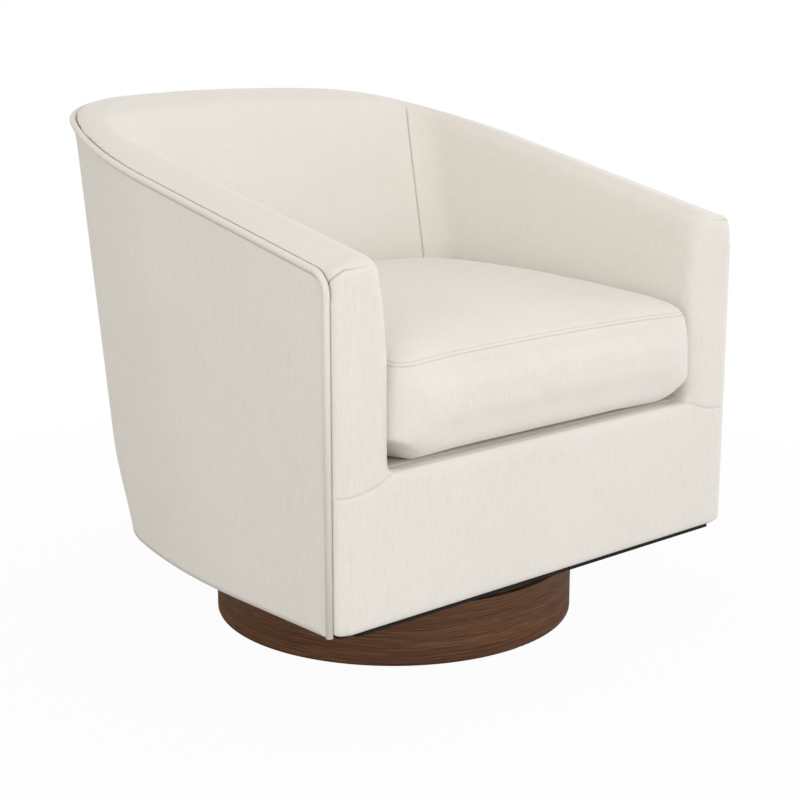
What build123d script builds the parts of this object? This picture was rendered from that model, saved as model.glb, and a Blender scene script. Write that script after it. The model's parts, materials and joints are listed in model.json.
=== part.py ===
"""Swivel barrel chair: a padded barrel shell that turns on a round walnut plinth.

Millimetres, +Z up. The origin is where the swivel axis meets the floor, and the chair's front faces -Y.
"""

import os
from math import asin, cos, degrees, radians, sin

from build123d import *

# ---------------------------------------------------------------- plinth
PLINTH_RADIUS = 263.5
PLINTH_TOP = 89.0
PLINTH_WRAP = 9.0
PLINTH_EDGE_ROUND = 6.0
PLINTH_BOARD = 15.0
FLOOR_PAD_HEIGHT = 2.0
FLOOR_PAD_WIDTH = 32.0
FLOOR_PAD_SETBACK = 7.0
BLOCK_COUNT = 8
BLOCK_WIDTH = 40.0
BLOCK_DEPTH = 26.0

# ---------------------------------------------------------------- swivel
SWIVEL_PLATE = 3.0
SWIVEL_LOWER_RADIUS = 118.0
SWIVEL_UPPER_SIDE = 190.0
PLATE_GAP = 7.0
BALL_RADIUS = 5.0
BALL_CIRCLE = 82.0
BALL_COUNT = 24
BALL_CLEARANCE = 0.05
CAGE_THICKNESS = 2.0
CAGE_WIDTH = 20.0
CAGE_HOLE_CLEARANCE = 0.3
PIVOT_RADIUS = 9.0
PIVOT_HEAD_RADIUS = 15.0
PIVOT_HEAD = 3.0
PIVOT_CLEARANCE = 0.05
PIVOT_HEAD_GAP = 0.3
PIVOT_POCKET = 2.0
SCREW_RADIUS = 2.5
SCREW_HEAD_RADIUS = 4.6
SCREW_HEAD = 2.4
SCREW_GRIP = 12.0
SCREW_CIRCLE = 105.0
SCREW_TURN = 45.0
BOLT_RADIUS = 3.0
BOLT_HEAD_RADIUS = 6.0
BOLT_HEAD = 3.0
BOLT_SPACING = 160.0
BOLT_HOLE_CLEARANCE = 0.4
FASTENER_COUNT = 4
TEE_NUT_RADIUS = 11.0
TEE_NUT_FLANGE = 1.6
TEE_NUT_BARREL_RADIUS = 4.6
TEE_NUT_BARREL = 10.0
SWIVEL_BOARD = 21.0
SWIVEL_BOARD_SIDE = 300.0
BOARD_SCREW_SPACING = 250.0
BOARD_SCREW_GRIP = 20.0
BOTTOM_BOARD = 3.6
BOTTOM_BOARD_SETBACK = 14.0
BOARD_LIP_SETBACK = 5.0    # at the front the board comes nearer to the face, and shows as a dark line
BOARD_LIP_END = 35.0

# ---------------------------------------------------------------- barrel shell, outside
SWIVEL_TOP = PLINTH_TOP + 2 * SWIVEL_PLATE + PLATE_GAP
BOTTOM_BOARD_LOW = SWIVEL_TOP + SWIVEL_BOARD
SHELL_BOTTOM = BOTTOM_BOARD_LOW + BOTTOM_BOARD
SHELL_FRONT = -323.0
HALF_WIDTH = 374.0
FRONT_CORNER = 21.0
LEAST_CORNER = 2.0         # an outline drawn far in keeps this much of its front corners
TUCK_RISE = 103.0          # above this the back leans at a steady angle
TUCK_SHARE = 0.26          # how far the outline has moved to its top form at that height
TOP_FORM_RISE = 613.0
LOFT_RISE = 673.0
# each pair is the value at the bottom edge, then at the top of the back
SIDE_STRAIGHT_TO = (-120.0, 88.0)
SIDE_RADIUS = (1100.0, 600.0)
CORNER_RADIUS = (260.0, 170.0)
SIDE_TURN = (15.0, 25.0)
CORNER_TURN = (80.0, 80.0)

CREST_RISE = 529.0         # the roll's crest over the swivel axis, above the shell's bottom
CREST_SLOPE = 0.2175
PIPING_DROP = 17.5         # the piping runs this far below the crest
ROLL_ROUND = 17.0
WELT_RADIUS = 4.6
WELT_INSET = 2.0
WELT_CORNER = 28.0
WELT_SETBACK = 18.0        # the front welts stand this far behind the front face
WELT_SHARE = 0.96          # where on its way to the top form the outline meets the piping

# ---------------------------------------------------------------- seat well, inside
# each triple is the value at the seat ring, at the cushion's top and above the back
WELL_RISES = (169.0, 343.0, 673.0)
ARM_WIDTHS = (91.0, 91.0, 59.0)
WELL_BACKS = (206.0, 243.0, 358.5)
WELL_CORNER = 60.0
WELL_BACK_RADIUS = 1400.0
WELL_FRONT = -420.0
SEAM_POINT = (262.0, 233.0)
SEAM_DIRECTION = (40.0, 109.0)
ARM_INNER_EDGE = 19.0

# ---------------------------------------------------------------- covers and padding
PANEL = 5.0
FRONT_PANEL_DEPTH = 26.0
FRONT_PANEL_RISE = 193.4   # top of the front panel between the arms
ARM_SEAM_DROP = 16.0       # the panel's seam under the arm fronts is this much lower
FOAM = 22.0
CARD = 2.0

# ---------------------------------------------------------------- frame
PLY = 18.0
FRAME_DEPTH = 35.0
BOTTOM_RING_WIDTH = 48.0
SEAT_RING_RISE = 173.4
SEAT_RING_WIDTH = 40.0
SHELF_FRONT = 162.0
RAIL_BELOW_PIPING = 14.0
RIB = 22.0
FRONT_POST = 34.0
ARM_RIB_FRONT_AT = -60.0
ARM_RIB_REAR_AT = 120.0
CORNER_RIB_ANGLE = 50.0
BACK_RIB_AT = 105.0
CROSS_RAIL_AT = 95.0
CROSS_RAIL_WIDTH = 45.0
CROSS_RAIL_HEIGHT = 32.0
FRONT_RAIL_HEIGHT = 60.0
FRONT_RAIL_DEPTH = 24.0

# ---------------------------------------------------------------- springs, webbing and deck
SPRING_COUNT = 5
SPRING_SPACING = 104.0
SPRING_WIRE_RADIUS = 1.9
SPRING_BENDS = 17
SPRING_HALF_WIDTH = 22.0
SPRING_END_SETBACK = 8.0
CLIP_SHEET = 1.5
CLIP_WIDTH = 40.0
CLIP_REACH = 7.0
TIE_ROD_RADIUS = 1.2
TIE_ROD_LENGTH = 470.0
TIE_ROD_AT = (-120.0, 20.0)
WEBBING_WIDTH = 50.0
WEBBING_RISES = (225.0, 325.0, 425.0)

# ---------------------------------------------------------------- cushion
CUSHION_SIDE_CLEARANCE = 1.2
CUSHION_BOTTOM_CLEARANCE = 0.5
CUSHION_FRONT = -331.0
CUSHION_SEAM_RISE = 330.4
CUSHION_CROWN = 26.0
CUSHION_CROWN_SPREAD = 150.0  # the crown is level this far in from the seam
CUSHION_CORNER = 38.0
CUSHION_LEAST_CORNER = 16.0
CUSHION_BOTTOM_ROUND = 27.0
CUSHION_DRAW_IN = 5.0
CUSHION_STEPS = 5          # levels in each rounded stretch of the cushion
COVER = 2.5
ZIP_LENGTH = 320.0
ZIP_WIDTH = 26.0
ZIP_THICKNESS = 1.2
ZIP_RISE = 262.0

# ---------------------------------------------------------------- sizes that follow from those above
TUCK_HEIGHT = SHELL_BOTTOM + TUCK_RISE
TOP_FORM_HEIGHT = SHELL_BOTTOM + TOP_FORM_RISE
LOFT_TOP = SHELL_BOTTOM + LOFT_RISE
CREST_AT_AXIS = SHELL_BOTTOM + CREST_RISE
WELL_HEIGHTS = tuple(SHELL_BOTTOM + rise for rise in WELL_RISES)
WELL_HALF_WIDTHS = tuple(HALF_WIDTH - arm for arm in ARM_WIDTHS)
SEAT_RING_TOP = SHELL_BOTTOM + SEAT_RING_RISE
FRONT_PANEL_TOP = SHELL_BOTTOM + FRONT_PANEL_RISE
FRAME_FRONT = SHELL_FRONT + FRONT_PANEL_DEPTH
WELT_FRONT = SHELL_FRONT + WELT_SETBACK
SPRING_HEIGHT = SEAT_RING_TOP + CLIP_SHEET + SPRING_WIRE_RADIUS
DECK_BOTTOM = SPRING_HEIGHT + SPRING_WIRE_RADIUS + CLIP_SHEET
FAR = 1000.0

os.makedirs("parts", exist_ok=True)


def finish(piece, label):
    """Labels a finished piece and writes it."""
    piece.part.label = label
    export_step(piece.part, f"parts/{label}.step")


def between(pair, share):
    return pair[0] + (pair[1] - pair[0]) * share


def polar(centre, radius, angle):
    """The point of a circle at an angle from +X, in degrees."""
    return (centre[0] + radius * cos(radians(angle)), centre[1] + radius * sin(radians(angle)))


def same(point):
    return point


def mirrored(point):
    return (-point[0], *point[1:])


def slab(low=-FAR, high=FAR, front=-FAR, back=FAR, left=-FAR, right=FAR):
    """A block between heights, fronts and sides, which trims a piece."""
    with BuildPart() as block:
        with Locations(((left + right) / 2, (front + back) / 2, (low + high) / 2)):
            Box(right - left, back - front, high - low)
    return block.part


# ================================================================ barrel outline and its lofted forms
def shell_share(height):
    """How far the outline has moved from its bottom form to its top form at a height."""
    if height <= TUCK_HEIGHT:
        return TUCK_SHARE * (height - SHELL_BOTTOM) / (TUCK_HEIGHT - SHELL_BOTTOM)
    return TUCK_SHARE + (1 - TUCK_SHARE) * (height - TUCK_HEIGHT) / (TOP_FORM_HEIGHT - TUCK_HEIGHT)


def shell_arcs(share):
    """Centre, radius and last angle of the right side arc and the corner arc, then the back arc."""
    side_radius, corner_radius = between(SIDE_RADIUS, share), between(CORNER_RADIUS, share)
    side_turn, corner_turn = between(SIDE_TURN, share), between(CORNER_TURN, share)
    side_centre = (HALF_WIDTH - side_radius, between(SIDE_STRAIGHT_TO, share))
    corner_centre = polar(side_centre, side_radius - corner_radius, side_turn)
    reach = corner_centre[0] / cos(radians(corner_turn))
    back_centre = (0.0, corner_centre[1] - reach * sin(radians(corner_turn)))
    return (
        (side_centre, side_radius, side_turn),
        (corner_centre, corner_radius, corner_turn),
        (back_centre, corner_radius + reach),
    )


def draw_shell_outline(share, inset):
    """The barrel's outline, drawn in from the outer surface by inset."""
    (side_centre, side_r, side_end), (corner_centre, corner_r, corner_end), (back_centre, back_r) = shell_arcs(share)
    side, front = HALF_WIDTH - inset, SHELL_FRONT + inset
    front_round = max(FRONT_CORNER - inset, LEAST_CORNER)
    round_centre = (side - front_round, front + front_round)
    after_front, before_side = (round_centre[0], front), (side, round_centre[1])
    straight_end = (side, side_centre[1])
    after_side = polar(side_centre, side_r - inset, side_end)
    after_corner = polar(corner_centre, corner_r - inset, corner_end)
    for flip in (same, mirrored):
        ThreePointArc(flip(after_front), flip(polar(round_centre, front_round, -45)), flip(before_side))
        Line(flip(before_side), flip(straight_end))
        side_mid = polar(side_centre, side_r - inset, side_end / 2)
        ThreePointArc(flip(straight_end), flip(side_mid), flip(after_side))
        corner_mid = polar(corner_centre, corner_r - inset, (side_end + corner_end) / 2)
        ThreePointArc(flip(after_side), flip(corner_mid), flip(after_corner))
    ThreePointArc(after_corner, polar(back_centre, back_r - inset, 90), mirrored(after_corner))
    Line(after_front, mirrored(after_front))


def shell_form(inset):
    """The solid inside the barrel's outer surface, drawn in by inset."""
    with BuildPart() as form:
        for level in (SHELL_BOTTOM, TUCK_HEIGHT, LOFT_TOP):
            with BuildSketch(Plane.XY.offset(level)):
                with BuildLine():
                    draw_shell_outline(shell_share(level), inset)
                make_face()
        loft(ruled=True)
    return form.part


def well_value(values, height):
    """A seat well size at a height, from its values at the three named heights."""
    low, middle, high = WELL_HEIGHTS
    if height <= middle:
        return between(values[:2], (height - low) / (middle - low))
    return between(values[1:], (height - middle) / (high - middle))


def draw_well_outline(half_width, back, corner, back_radius, front, front_corner=0.0):
    """Straight inside arms, round rear corners and a hollow back, open or rounded at the front."""
    corner_x, back_centre_y = half_width - corner, back - back_radius
    rise = ((back_radius - corner) ** 2 - corner_x**2) ** 0.5
    centre = (corner_x, back_centre_y + rise)
    lean = degrees(asin(rise / (back_radius - corner)))
    touch = polar(centre, corner, lean)
    for flip in (same, mirrored):
        if front_corner:
            round_centre = (half_width - front_corner, front + front_corner)
            round_mid = polar(round_centre, front_corner, -45)
            ThreePointArc(flip((round_centre[0], front)), flip(round_mid), flip((half_width, round_centre[1])))
        Line(flip((half_width, front + front_corner)), flip((half_width, centre[1])))
        ThreePointArc(flip((half_width, centre[1])), flip(polar(centre, corner, lean / 2)), flip(touch))
    ThreePointArc(touch, (0, back), mirrored(touch))
    Line((half_width - front_corner, front), (front_corner - half_width, front))


def well_form(outset):
    """The solid that fills the seat well, grown by outset."""
    with BuildPart() as form:
        for level in WELL_HEIGHTS:
            half_width = well_value(WELL_HALF_WIDTHS, level) + outset
            back = well_value(WELL_BACKS, level) + outset
            with BuildSketch(Plane.XY.offset(level)):
                with BuildLine():
                    draw_well_outline(half_width, back, WELL_CORNER + outset, WELL_BACK_RADIUS + outset, WELL_FRONT)
                make_face()
        loft(ruled=True)
    return form.part


def crest_plane(drop):
    """The slanted plane of the roll's crest, lowered by drop."""
    return Plane(origin=(0, 0, CREST_AT_AXIS - drop), x_dir=(1, 0, 0), z_dir=(0, -CREST_SLOPE, 1))


PIPING_PLANE = crest_plane(PIPING_DROP)
RAIL_TOP_PLANE = crest_plane(PIPING_DROP + RAIL_BELOW_PIPING)
RAIL_BOTTOM_PLANE = crest_plane(PIPING_DROP + RAIL_BELOW_PIPING + PLY)
RIGHT_SEAM = Plane(
    origin=(*SEAM_POINT, 0), x_dir=(0, 0, 1), z_dir=(SEAM_DIRECTION[1], -SEAM_DIRECTION[0], 0)
)
LEFT_SEAM = Plane(
    origin=(*mirrored(SEAM_POINT), 0), x_dir=(0, 0, 1), z_dir=(-SEAM_DIRECTION[1], -SEAM_DIRECTION[0], 0)
)

outer_form = shell_form(0)
panel_form = shell_form(PANEL)
frame_form = shell_form(PANEL + FRAME_DEPTH)
bottom_ring_core = shell_form(PANEL + BOTTOM_RING_WIDTH)
seat_ring_core = shell_form(PANEL + FRAME_DEPTH + SEAT_RING_WIDTH)
well = well_form(0)
foam_back = well_form(FOAM)
card_back = well_form(FOAM + CARD)
below_seat_ring = slab(high=SEAT_RING_TOP)
before_frame = slab(back=FRAME_FRONT)


STEEP = 5.0                # an upright edge rises at least this many times what it goes sideways
TOUCH = 0.1                # an edge this near a face lies on it


def is_inner_front_edge(edge):
    """True for the upright edges where an arm front turns into the inside arm."""
    low, high = edge.bounding_box().min, edge.bounding_box().max
    upright = high.Z - low.Z > STEEP * (high.X - low.X)
    on_front = abs(high.Y - SHELL_FRONT) < TOUCH
    return upright and on_front and abs(edge.center().X) < HALF_WIDTH - FRONT_CORNER


# ================================================================ piping
def welt_point(point):
    """A plan point of the outline, raised onto the piping's slanted plane."""
    return (*point, PIPING_PLANE.origin.Z + CREST_SLOPE * point[1])


(side_centre, side_r, side_end), (corner_centre, corner_r, corner_end), _ = shell_arcs(WELT_SHARE)
welt_side = HALF_WIDTH - WELT_INSET
welt_foot = (welt_side, WELT_FRONT, SHELL_BOTTOM)
welt_turn = welt_point((welt_side, WELT_FRONT))
welt_straight_end = welt_point((welt_side, side_centre[1]))
welt_after_side = welt_point(polar(side_centre, side_r - WELT_INSET, side_end))
welt_after_corner = welt_point(polar(corner_centre, corner_r - WELT_INSET, corner_end))
slope_direction = PIPING_PLANE.y_dir

with BuildLine() as welt_path:
    FilletPolyline(welt_foot, welt_turn, welt_straight_end, radius=WELT_CORNER)
    side_arc = TangentArc(welt_straight_end, welt_after_side, tangent=slope_direction)
    corner_arc = TangentArc(welt_after_side, welt_after_corner, tangent=side_arc % 1)
    back_arc = TangentArc(welt_after_corner, mirrored(welt_after_corner), tangent=corner_arc % 1)
    far_corner_arc = TangentArc(mirrored(welt_after_corner), mirrored(welt_after_side), tangent=back_arc % 1)
    far_side_arc = TangentArc(
        mirrored(welt_after_side), mirrored(welt_straight_end), tangent=far_corner_arc % 1
    )
    FilletPolyline(mirrored(welt_straight_end), mirrored(welt_turn), mirrored(welt_foot), radius=WELT_CORNER)

with BuildPart() as piping:
    with BuildSketch(Plane(origin=welt_foot, z_dir=(0, 0, 1))):
        Circle(WELT_RADIUS)
    sweep(path=welt_path.wire())
finish(piping, "piping")

# ================================================================ the whole padded tub, cut up below
with BuildPart() as tub_block:
    add(outer_form)
    split(bisect_by=crest_plane(0), keep=Keep.BOTTOM)
    add(below_seat_ring, mode=Mode.SUBTRACT)
    add(well, mode=Mode.SUBTRACT)
    fillet(tub_block.edges().filter_by(is_inner_front_edge), ARM_INNER_EDGE)
    fillet(tub_block.faces().sort_by(Axis.Z)[-1].edges(), ROLL_ROUND)
tub = tub_block.part

# ================================================================ outside panels and front panel
with BuildPart() as skin_block:
    add(outer_form)
    add(panel_form, mode=Mode.SUBTRACT)
    split(bisect_by=PIPING_PLANE, keep=Keep.BOTTOM)
    add(slab(back=WELT_FRONT), mode=Mode.SUBTRACT)
    top_front_corners = skin_block.edges().filter_by(Axis.X).group_by(Axis.Y)[0].group_by(Axis.Z)[-1]
    fillet(top_front_corners, WELT_CORNER)
skin = skin_block.part

with BuildPart() as outside_back_panel:
    add(skin)
    add(piping.part, mode=Mode.SUBTRACT)
    split(bisect_by=RIGHT_SEAM, keep=Keep.BOTTOM)
    split(bisect_by=LEFT_SEAM, keep=Keep.BOTTOM)
finish(outside_back_panel, "outside_back_panel")

with BuildPart() as outside_right_panel:
    add(skin)
    add(piping.part, mode=Mode.SUBTRACT)
    split(bisect_by=RIGHT_SEAM, keep=Keep.TOP)
finish(outside_right_panel, "outside_right_panel")

with BuildPart() as outside_left_panel:
    mirror(outside_right_panel.part, about=Plane.YZ)
finish(outside_left_panel, "outside_left_panel")

with BuildPart() as front_panel:
    add(outer_form)
    add(slab(high=FRONT_PANEL_TOP, back=FRAME_FRONT), mode=Mode.INTERSECT)
    for side in (slab(left=WELL_HALF_WIDTHS[0]), slab(right=-WELL_HALF_WIDTHS[0])):
        add(side & slab(low=FRONT_PANEL_TOP - ARM_SEAM_DROP), mode=Mode.SUBTRACT)
    add(skin, mode=Mode.SUBTRACT)
    add(piping.part, mode=Mode.SUBTRACT)
finish(front_panel, "front_panel")

# ================================================================ arm and back padding
with BuildPart() as frame_zone_block:
    add(panel_form)
    add(foam_back, mode=Mode.SUBTRACT)
    split(bisect_by=RAIL_TOP_PLANE, keep=Keep.BOTTOM)
    add(before_frame, mode=Mode.SUBTRACT)
frame_zone = frame_zone_block.part

with BuildPart() as padding_block:
    add(tub)
    for taken in (frame_zone, skin, front_panel.part, piping.part):
        add(taken, mode=Mode.SUBTRACT)
padding = padding_block.part

with BuildPart() as back_pad:
    add(padding)
    split(bisect_by=RIGHT_SEAM, keep=Keep.BOTTOM)
    split(bisect_by=LEFT_SEAM, keep=Keep.BOTTOM)
finish(back_pad, "back_pad")

with BuildPart() as right_arm_pad:
    add(padding)
    split(bisect_by=RIGHT_SEAM, keep=Keep.TOP)
finish(right_arm_pad, "right_arm_pad")

with BuildPart() as left_arm_pad:
    mirror(right_arm_pad.part, about=Plane.YZ)
finish(left_arm_pad, "left_arm_pad")

# ================================================================ backing of the padding
with BuildPart() as card_zone_block:
    add(card_back)
    add(foam_back, mode=Mode.SUBTRACT)
    split(bisect_by=RAIL_TOP_PLANE, keep=Keep.BOTTOM)
    add(before_frame, mode=Mode.SUBTRACT)
    add(below_seat_ring, mode=Mode.SUBTRACT)
card_zone = card_zone_block.part

with BuildPart() as right_arm_card:
    add(card_zone)
    split(bisect_by=RIGHT_SEAM, keep=Keep.TOP)
finish(right_arm_card, "right_arm_card")

with BuildPart() as left_arm_card:
    mirror(right_arm_card.part, about=Plane.YZ)
finish(left_arm_card, "left_arm_card")

with BuildPart() as webbing_levels:
    for rise in WEBBING_RISES:
        add(slab(SHELL_BOTTOM + rise, SHELL_BOTTOM + rise + WEBBING_WIDTH))

with BuildPart() as back_webbing:
    add(card_zone)
    split(bisect_by=RIGHT_SEAM, keep=Keep.BOTTOM)
    split(bisect_by=LEFT_SEAM, keep=Keep.BOTTOM)
    add(webbing_levels.part, mode=Mode.INTERSECT)
finish(back_webbing, "back_webbing")

# ================================================================ frame: rings, ribs and rails
RING_TOP = SHELL_BOTTOM + PLY

with BuildPart() as bottom_ring:
    add(panel_form)
    add(slab(SHELL_BOTTOM, RING_TOP, front=FRAME_FRONT), mode=Mode.INTERSECT)
    add(bottom_ring_core, mode=Mode.SUBTRACT)
finish(bottom_ring, "bottom_ring")

with BuildPart() as seat_ring:
    add(frame_form)
    add(slab(SEAT_RING_TOP - PLY, SEAT_RING_TOP, front=FRAME_FRONT + FRONT_RAIL_DEPTH), mode=Mode.INTERSECT)
    add(seat_ring_core & slab(back=SHELF_FRONT), mode=Mode.SUBTRACT)
finish(seat_ring, "seat_ring")

POST_INNER = HALF_WIDTH - PANEL - FRAME_DEPTH
RAIL_LOW = SEAT_RING_TOP - FRONT_RAIL_HEIGHT
RAIL_REAR = FRAME_FRONT + FRONT_RAIL_DEPTH

with BuildPart() as front_rail:
    add(slab(RAIL_LOW, SEAT_RING_TOP, FRAME_FRONT, RAIL_REAR, -POST_INNER, POST_INNER))
finish(front_rail, "front_rail")

with BuildPart() as rib_zone_block:
    add(panel_form)
    split(bisect_by=RAIL_BOTTOM_PLANE, keep=Keep.BOTTOM)
    add(slab(high=RING_TOP), mode=Mode.SUBTRACT)
    add(before_frame, mode=Mode.SUBTRACT)
    add(frame_form & below_seat_ring, mode=Mode.SUBTRACT)
    add(card_back & slab(low=SEAT_RING_TOP), mode=Mode.SUBTRACT)
rib_zone = rib_zone_block.part

with BuildPart() as corner_slab:
    corner_at = shell_arcs(TUCK_SHARE)[1][0]
    with Locations(Location((*corner_at, 0), (0, 0, CORNER_RIB_ANGLE))):
        Box(FAR, RIB, 2 * FAR, align=(Align.MIN, Align.CENTER, Align.CENTER))

POST_REAR = FRAME_FRONT + FRONT_POST
post_slab = slab(back=POST_REAR, left=POST_INNER) + slab(low=SEAT_RING_TOP, back=POST_REAR, left=0)

rib_slabs = {
    "front_post": post_slab,
    "arm_rib_front": slab(front=ARM_RIB_FRONT_AT - RIB / 2, back=ARM_RIB_FRONT_AT + RIB / 2, left=0),
    "arm_rib_rear": slab(front=ARM_RIB_REAR_AT - RIB / 2, back=ARM_RIB_REAR_AT + RIB / 2, left=0),
    "corner_rib": corner_slab.part,
    "back_rib": slab(front=0, left=BACK_RIB_AT - RIB / 2, right=BACK_RIB_AT + RIB / 2),
}
for name, rib_slab in rib_slabs.items():
    with BuildPart() as right_rib:
        add(rib_zone)
        add(rib_slab, mode=Mode.INTERSECT)
    finish(right_rib, f"right_{name}")
    with BuildPart() as left_rib:
        mirror(right_rib.part, about=Plane.YZ)
    finish(left_rib, f"left_{name}")

with BuildPart() as rail_zone_block:
    add(panel_form)
    split(bisect_by=RAIL_TOP_PLANE, keep=Keep.BOTTOM)
    split(bisect_by=RAIL_BOTTOM_PLANE, keep=Keep.TOP)
    add(before_frame, mode=Mode.SUBTRACT)
    add(card_back, mode=Mode.SUBTRACT)
rail_zone = rail_zone_block.part

with BuildPart() as back_rail:
    add(rail_zone)
    split(bisect_by=RIGHT_SEAM, keep=Keep.BOTTOM)
    split(bisect_by=LEFT_SEAM, keep=Keep.BOTTOM)
finish(back_rail, "back_rail")

with BuildPart() as right_arm_rail:
    add(rail_zone)
    split(bisect_by=RIGHT_SEAM, keep=Keep.TOP)
finish(right_arm_rail, "right_arm_rail")

with BuildPart() as left_arm_rail:
    mirror(right_arm_rail.part, about=Plane.YZ)
finish(left_arm_rail, "left_arm_rail")

with BuildPart() as cross_rail_blanks:
    for at in (-CROSS_RAIL_AT, CROSS_RAIL_AT):
        add(slab(SHELL_BOTTOM, SHELL_BOTTOM + CROSS_RAIL_HEIGHT, left=at - CROSS_RAIL_WIDTH / 2,
                 right=at + CROSS_RAIL_WIDTH / 2))
    add(bottom_ring_core, mode=Mode.INTERSECT)

# ================================================================ springs, clips, tie rods and deck
SPRING_START = FRAME_FRONT + FRONT_RAIL_DEPTH / 2
SPRING_END = SHELF_FRONT + SPRING_END_SETBACK
SPRING_PITCH = (SPRING_END - SPRING_START) / SPRING_BENDS
BEND_RADIUS = SPRING_PITCH / 2
STRAIGHT = SPRING_HALF_WIDTH - BEND_RADIUS
print("sinuous spring: gap between runs", round(SPRING_PITCH - 2 * SPRING_WIRE_RADIUS, 2), "mm")

with BuildLine() as spring_path:
    for bend in range(SPRING_BENDS + 1):
        side = 1 if bend % 2 == 0 else -1
        y = SPRING_START + bend * SPRING_PITCH
        Line((-side * STRAIGHT, y, SPRING_HEIGHT), (side * STRAIGHT, y, SPRING_HEIGHT))
        if bend < SPRING_BENDS:
            tip = (side * SPRING_HALF_WIDTH, y + BEND_RADIUS, SPRING_HEIGHT)
            ThreePointArc((side * STRAIGHT, y, SPRING_HEIGHT), tip, (side * STRAIGHT, y + SPRING_PITCH, SPRING_HEIGHT))

with BuildPart() as one_spring:
    with BuildSketch(Plane(origin=(-STRAIGHT, SPRING_START, SPRING_HEIGHT), z_dir=(1, 0, 0))):
        Circle(SPRING_WIRE_RADIUS)
    sweep(path=spring_path.wire())

with BuildPart() as seat_springs:
    with GridLocations(SPRING_SPACING, 1, SPRING_COUNT, 1):
        add(one_spring.part)
finish(seat_springs, "seat_springs")

CLIP_LOW = SEAT_RING_TOP
CLIP_HIGH = SEAT_RING_TOP + 2 * SPRING_WIRE_RADIUS + 2 * CLIP_SHEET

with BuildPart() as spring_clips:
    for wire_at, opens in ((SPRING_START, 1), (SPRING_END, -1)):
        back_y = wire_at - opens * (SPRING_WIRE_RADIUS + CLIP_SHEET)
        inner_y = back_y + opens * CLIP_SHEET
        mouth_y = back_y + opens * CLIP_REACH
        for index in range(SPRING_COUNT):
            clip_x = (index - (SPRING_COUNT - 1) / 2) * SPRING_SPACING
            with BuildSketch(Plane.YZ.offset(clip_x - CLIP_WIDTH / 2)):
                with BuildLine():
                    Polyline(
                        (mouth_y, CLIP_LOW),
                        (back_y, CLIP_LOW),
                        (back_y, CLIP_HIGH),
                        (mouth_y, CLIP_HIGH),
                        (mouth_y, CLIP_HIGH - CLIP_SHEET),
                        (inner_y, CLIP_HIGH - CLIP_SHEET),
                        (inner_y, CLIP_LOW + CLIP_SHEET),
                        (mouth_y, CLIP_LOW + CLIP_SHEET),
                        close=True,
                    )
                make_face()
            extrude(amount=CLIP_WIDTH)
finish(spring_clips, "spring_clips")

with BuildPart() as tie_rods:
    for y in TIE_ROD_AT:
        with Locations((0, y, SPRING_HEIGHT - SPRING_WIRE_RADIUS - TIE_ROD_RADIUS)):
            Cylinder(TIE_ROD_RADIUS, TIE_ROD_LENGTH, rotation=(0, 90, 0))
finish(tie_rods, "tie_rods")

with BuildPart() as deck_pad:
    add(well)
    add(slab(DECK_BOTTOM, FRONT_PANEL_TOP, front=FRAME_FRONT), mode=Mode.INTERSECT)
finish(deck_pad, "deck_pad")

# ================================================================ boards under the shell
PIVOT_HEAD_TOP = SWIVEL_TOP + PIVOT_HEAD_GAP + PIVOT_HEAD
BOLT_END = BOTTOM_BOARD_LOW - TEE_NUT_FLANGE
BOARD_SCREW_END = SHELL_BOTTOM + BOARD_SCREW_GRIP
LIP_DEPTH = FRONT_PANEL_DEPTH - BOARD_LIP_SETBACK

with BuildPart() as board_screws:
    with GridLocations(2 * CROSS_RAIL_AT, BOARD_SCREW_SPACING, 2, 2):
        with Locations((0, 0, SWIVEL_TOP)):
            Cylinder(SCREW_HEAD_RADIUS, SCREW_HEAD, align=(Align.CENTER, Align.CENTER, Align.MIN))
            Cylinder(SCREW_RADIUS, BOARD_SCREW_END - SWIVEL_TOP, align=(Align.CENTER, Align.CENTER, Align.MIN))
finish(board_screws, "board_screws")

with BuildPart() as tee_nuts:
    with GridLocations(BOLT_SPACING, BOLT_SPACING, 2, 2):
        with Locations((0, 0, BOTTOM_BOARD_LOW)):
            Cylinder(TEE_NUT_RADIUS, TEE_NUT_FLANGE, align=(Align.CENTER, Align.CENTER, Align.MAX))
            Cylinder(TEE_NUT_BARREL_RADIUS, TEE_NUT_BARREL, align=(Align.CENTER, Align.CENTER, Align.MAX))
            Cylinder(BOLT_RADIUS, TEE_NUT_BARREL, align=(Align.CENTER, Align.CENTER, Align.MAX), mode=Mode.SUBTRACT)
finish(tee_nuts, "tee_nuts")

with BuildPart() as swivel_board:
    with Locations((0, 0, SWIVEL_TOP)):
        Box(SWIVEL_BOARD_SIDE, SWIVEL_BOARD_SIDE, SWIVEL_BOARD, align=(Align.CENTER, Align.CENTER, Align.MIN))
        Cylinder(
            PIVOT_HEAD_RADIUS + PIVOT_POCKET,
            PIVOT_HEAD_TOP + PIVOT_POCKET - SWIVEL_TOP,
            align=(Align.CENTER, Align.CENTER, Align.MIN),
            mode=Mode.SUBTRACT,
        )
    with Locations((0, 0, SWIVEL_TOP)):
        with GridLocations(BOLT_SPACING, BOLT_SPACING, 2, 2):
            Cylinder(
                BOLT_RADIUS + BOLT_HOLE_CLEARANCE,
                SWIVEL_BOARD,
                align=(Align.CENTER, Align.CENTER, Align.MIN),
                mode=Mode.SUBTRACT,
            )
    add(tee_nuts.part, mode=Mode.SUBTRACT)
    add(board_screws.part, mode=Mode.SUBTRACT)
finish(swivel_board, "swivel_board")

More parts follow.
